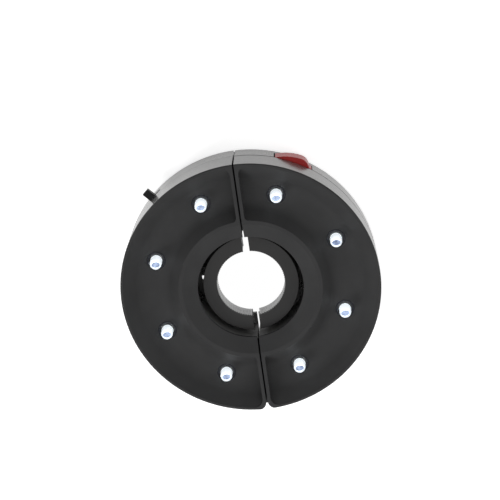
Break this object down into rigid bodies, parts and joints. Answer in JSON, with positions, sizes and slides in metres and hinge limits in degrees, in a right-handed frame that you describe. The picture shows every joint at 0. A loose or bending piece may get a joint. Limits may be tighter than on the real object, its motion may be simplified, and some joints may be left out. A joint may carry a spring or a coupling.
{
  "type": "patio umbrella light",
  "caption": "Hinged ring light that clamps round an umbrella pole, with LEDs in a dished face, sprung rubber-lined jaws, a side switch and a side latch.",
  "frame": {"origin": "on the pole's axis, at the plane of the flat back", "axes": "+Z along the pole's axis out of the LED face; +Y from the hinge to the latch end; the halves part at x = 0"},
  "size_m": [0.165, 0.165, 0.0375],
  "materials": {
    "shell": "semi-gloss black moulded plastic",
    "jaw_plastic": "satin black moulded plastic",
    "pad_rubber": "ribbed dark grey rubber",
    "led_lens": "clear, faintly frosted LED dome",
    "circuit_board": "green lacquered board",
    "screw_steel": "zinc plated",
    "spring_steel": "bright wire",
    "contact_metal": "nickel plated sheet",
    "cell_wrap": "plain shrink wrap",
    "wire_red": "insulated wire",
    "knob_plastic": "satin black",
    "latch_red": "semi-gloss red moulded plastic"
  },
  "bodies": {
    "left_half": {"front_housing_left": "shell", "rear_cover_left": "shell", "leds_left": "led_lens", "led_board_left": "circuit_board", "board_screws_left": "screw_steel", "cover_screws_left": "screw_steel", "jaw_springs_left": "spring_steel", "hinge_pin": "screw_steel", "battery_cells_left": "cell_wrap", "battery_contacts_left": "contact_metal", "battery_springs_left": "spring_steel", "wires_left": "wire_red", "switch_body": "contact_metal"},
    "right_half": {"front_housing_right": "shell", "rear_cover_right": "shell", "leds_right": "led_lens", "led_board_right": "circuit_board", "board_screws_right": "screw_steel", "cover_screws_right": "screw_steel", "jaw_springs_right": "spring_steel", "battery_cells_right": "cell_wrap", "battery_contacts_right": "contact_metal", "battery_springs_right": "spring_steel", "wires_right": "wire_red", "latch_pin": "screw_steel", "latch_spring": "spring_steel"},
    "jaw_left": {"grip_jaw_left": "jaw_plastic", "grip_pad_left": "pad_rubber"},
    "jaw_right": {"grip_jaw_right": "jaw_plastic", "grip_pad_right": "pad_rubber"},
    "knob": {"switch_knob": "knob_plastic"},
    "latch": {"latch_lever": "latch_red"},
    "door_left": {"battery_door_left": "shell"},
    "door_right": {"battery_door_right": "shell"}
  },
  "joints": [
    {"name": "right_half_open", "type": "hinge", "parent": "left_half", "child": "right_half", "pos_m": [0, -0.0795, 0], "axis": [0, 0, -1], "range_deg": [0, 85]},
    {"name": "jaw_left_slide", "type": "slide", "parent": "left_half", "child": "jaw_left", "axis": [-1, 0, 0], "range_m": [0, 0.0032], "stiffness_N_per_m": 800, "springref_m": -0.003, "deforming": ["jaw_springs_left"]},
    {"name": "jaw_right_slide", "type": "slide", "parent": "right_half", "child": "jaw_right", "axis": [1, 0, 0], "range_m": [0, 0.0032], "stiffness_N_per_m": 800, "springref_m": -0.003, "deforming": ["jaw_springs_right"]},
    {"name": "latch_press", "type": "hinge", "parent": "right_half", "child": "latch", "pos_m": [0.02709, 0.07077, 0], "axis": [0, 0, -1], "range_deg": [0, 6], "stiffness_Nm_per_rad": 0.05, "springref_deg": -5.73, "deforming": ["latch_spring"]},
    {"name": "switch_slide", "type": "slide", "parent": "left_half", "child": "knob", "axis": [0.7398, 0.6728, 0], "range_m": [0, 0.0045]},
    {"name": "battery_door_left_open", "type": "hinge", "parent": "left_half", "child": "door_left", "pos_m": [0, -0.0292, 0.0003], "axis": [-1, 0, 0], "range_deg": [0, 90]},
    {"name": "battery_door_right_open", "type": "hinge", "parent": "right_half", "child": "door_right", "pos_m": [0, -0.0292, 0.0003], "axis": [-1, 0, 0], "range_deg": [0, 90]}
  ]
}
